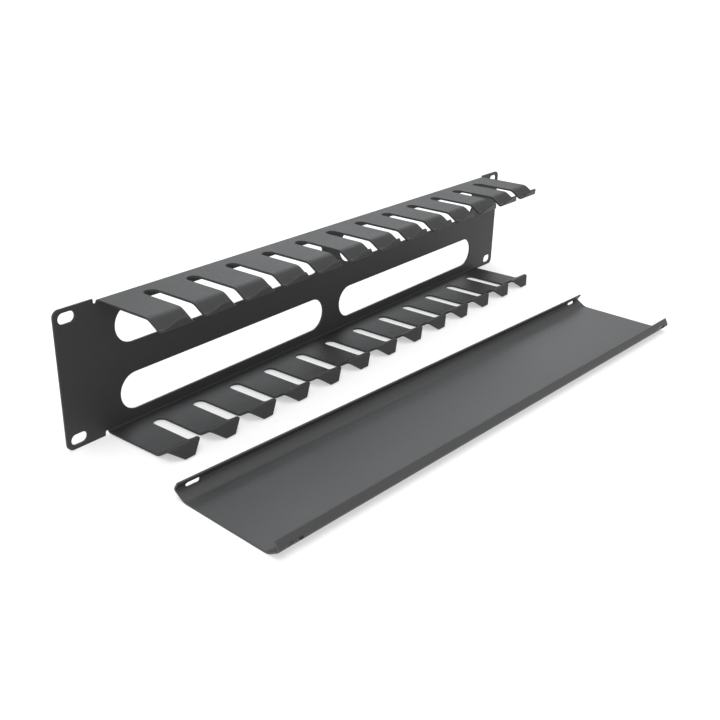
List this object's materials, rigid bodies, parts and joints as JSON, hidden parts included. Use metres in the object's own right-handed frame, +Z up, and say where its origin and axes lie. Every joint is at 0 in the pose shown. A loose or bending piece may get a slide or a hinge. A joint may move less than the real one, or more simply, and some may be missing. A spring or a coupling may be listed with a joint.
{
  "type": "horizontal cable manager",
  "caption": "Rack-width finger duct in folded sheet steel, with long windows in its panel and hooked fingers above and below, and its snap cover lying loose in front.",
  "frame": {"origin": "centre of the panel's rear face, midway between the four rack slots; this face meets the rack rails", "axes": "+X along the rack's width, to the right as seen from the front; +Y to the rear, out of the face that meets the rails; +Z up; the fingers point along -Y"},
  "size_m": [0.4826, 0.1989, 0.0882],
  "materials": {
    "powder_coat": "satin black powder coat on steel sheet"
  },
  "bodies": {
    "duct": {"finger_duct_body": "powder_coat"},
    "cover": {"snap_cover": "powder_coat"}
  },
  "joints": [
    {"name": "cover_lift", "type": "slide", "parent": "duct", "child": "cover", "axis": [0, 0, 1], "range_m": [0, 0.1]}
  ]
}
